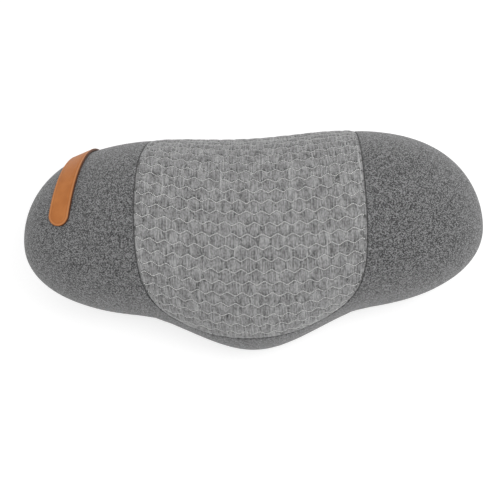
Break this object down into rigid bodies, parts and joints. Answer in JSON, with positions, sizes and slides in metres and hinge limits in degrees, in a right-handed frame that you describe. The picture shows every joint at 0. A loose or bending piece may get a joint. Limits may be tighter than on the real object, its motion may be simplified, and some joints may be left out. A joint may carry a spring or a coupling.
{
  "type": "lumbar support cushion",
  "caption": "Winged lumbar cushion: foam core in a grey cover with a quilted middle panel, a leather tab on one wing and a back zip.",
  "frame": {"origin": "On the surface that the cushion lies on, below the middle of its bounding box; the flat back is at z = 0", "axes": "+X along the cushion's width, to the right seen from the front; +Y towards its top edge; +Z out of its front face"},
  "size_m": [0.43, 0.2095, 0.1111],
  "materials": {
    "foam": "open-cell foam, matt",
    "liner": "thin white knitted liner",
    "quilted_fabric": "mid-grey melange cloth quilted in small hexagons",
    "wadding": "white polyester wadding",
    "backing_cloth": "thin black backing cloth",
    "heather_fabric": "dark grey heather cloth, fine speckle",
    "zip_tape": "black woven zip tape",
    "zip_teeth": "black nylon",
    "zip_metal": "dark nickel",
    "sewing_thread": "dark grey polyester thread",
    "leather": "tan leather, smooth, slightly glossy, with cut edges",
    "label_tape": "blank white satin label"
  },
  "bodies": {
    "cushion": {"foam_core": "foam", "liner_front": "liner", "liner_back": "liner", "front_panel_face": "quilted_fabric", "front_panel_wadding": "wadding", "front_panel_backing": "backing_cloth", "surround_panel": "heather_fabric", "back_panel_upper": "heather_fabric", "back_panel_lower": "heather_fabric", "zip_end_left": "heather_fabric", "zip_end_right": "heather_fabric", "zip_tape_upper": "zip_tape", "zip_tape_lower": "zip_tape", "zip_teeth_upper": "zip_teeth", "zip_teeth_lower": "zip_teeth", "zip_stop_left": "zip_metal", "zip_stop_right": "zip_metal", "front_seam_thread": "sewing_thread", "back_seam_thread": "sewing_thread", "care_label": "label_tape"},
    "slider": {"zip_slider": "zip_metal"},
    "pull": {"zip_pull": "zip_metal"},
    "tab": {"leather_tab": "leather", "tab_bar_tack": "sewing_thread"}
  },
  "joints": [
    {"name": "zip_travel", "type": "slide", "parent": "cushion", "child": "slider", "axis": [1, 0, 0], "range_m": [0, 0.2]},
    {"name": "pull_turn", "type": "hinge", "parent": "slider", "child": "pull", "pos_m": [-0.1, -0.008, 0.00145], "axis": [0, 1, 0], "range_deg": [0, 180]},
    {"name": "tab_lift", "type": "hinge", "parent": "cushion", "child": "tab", "pos_m": [-0.15415, 0.07877, 0.00989], "axis": [-0.9318, -0.1343, 0.3371], "range_deg": [0, 55]}
  ]
}
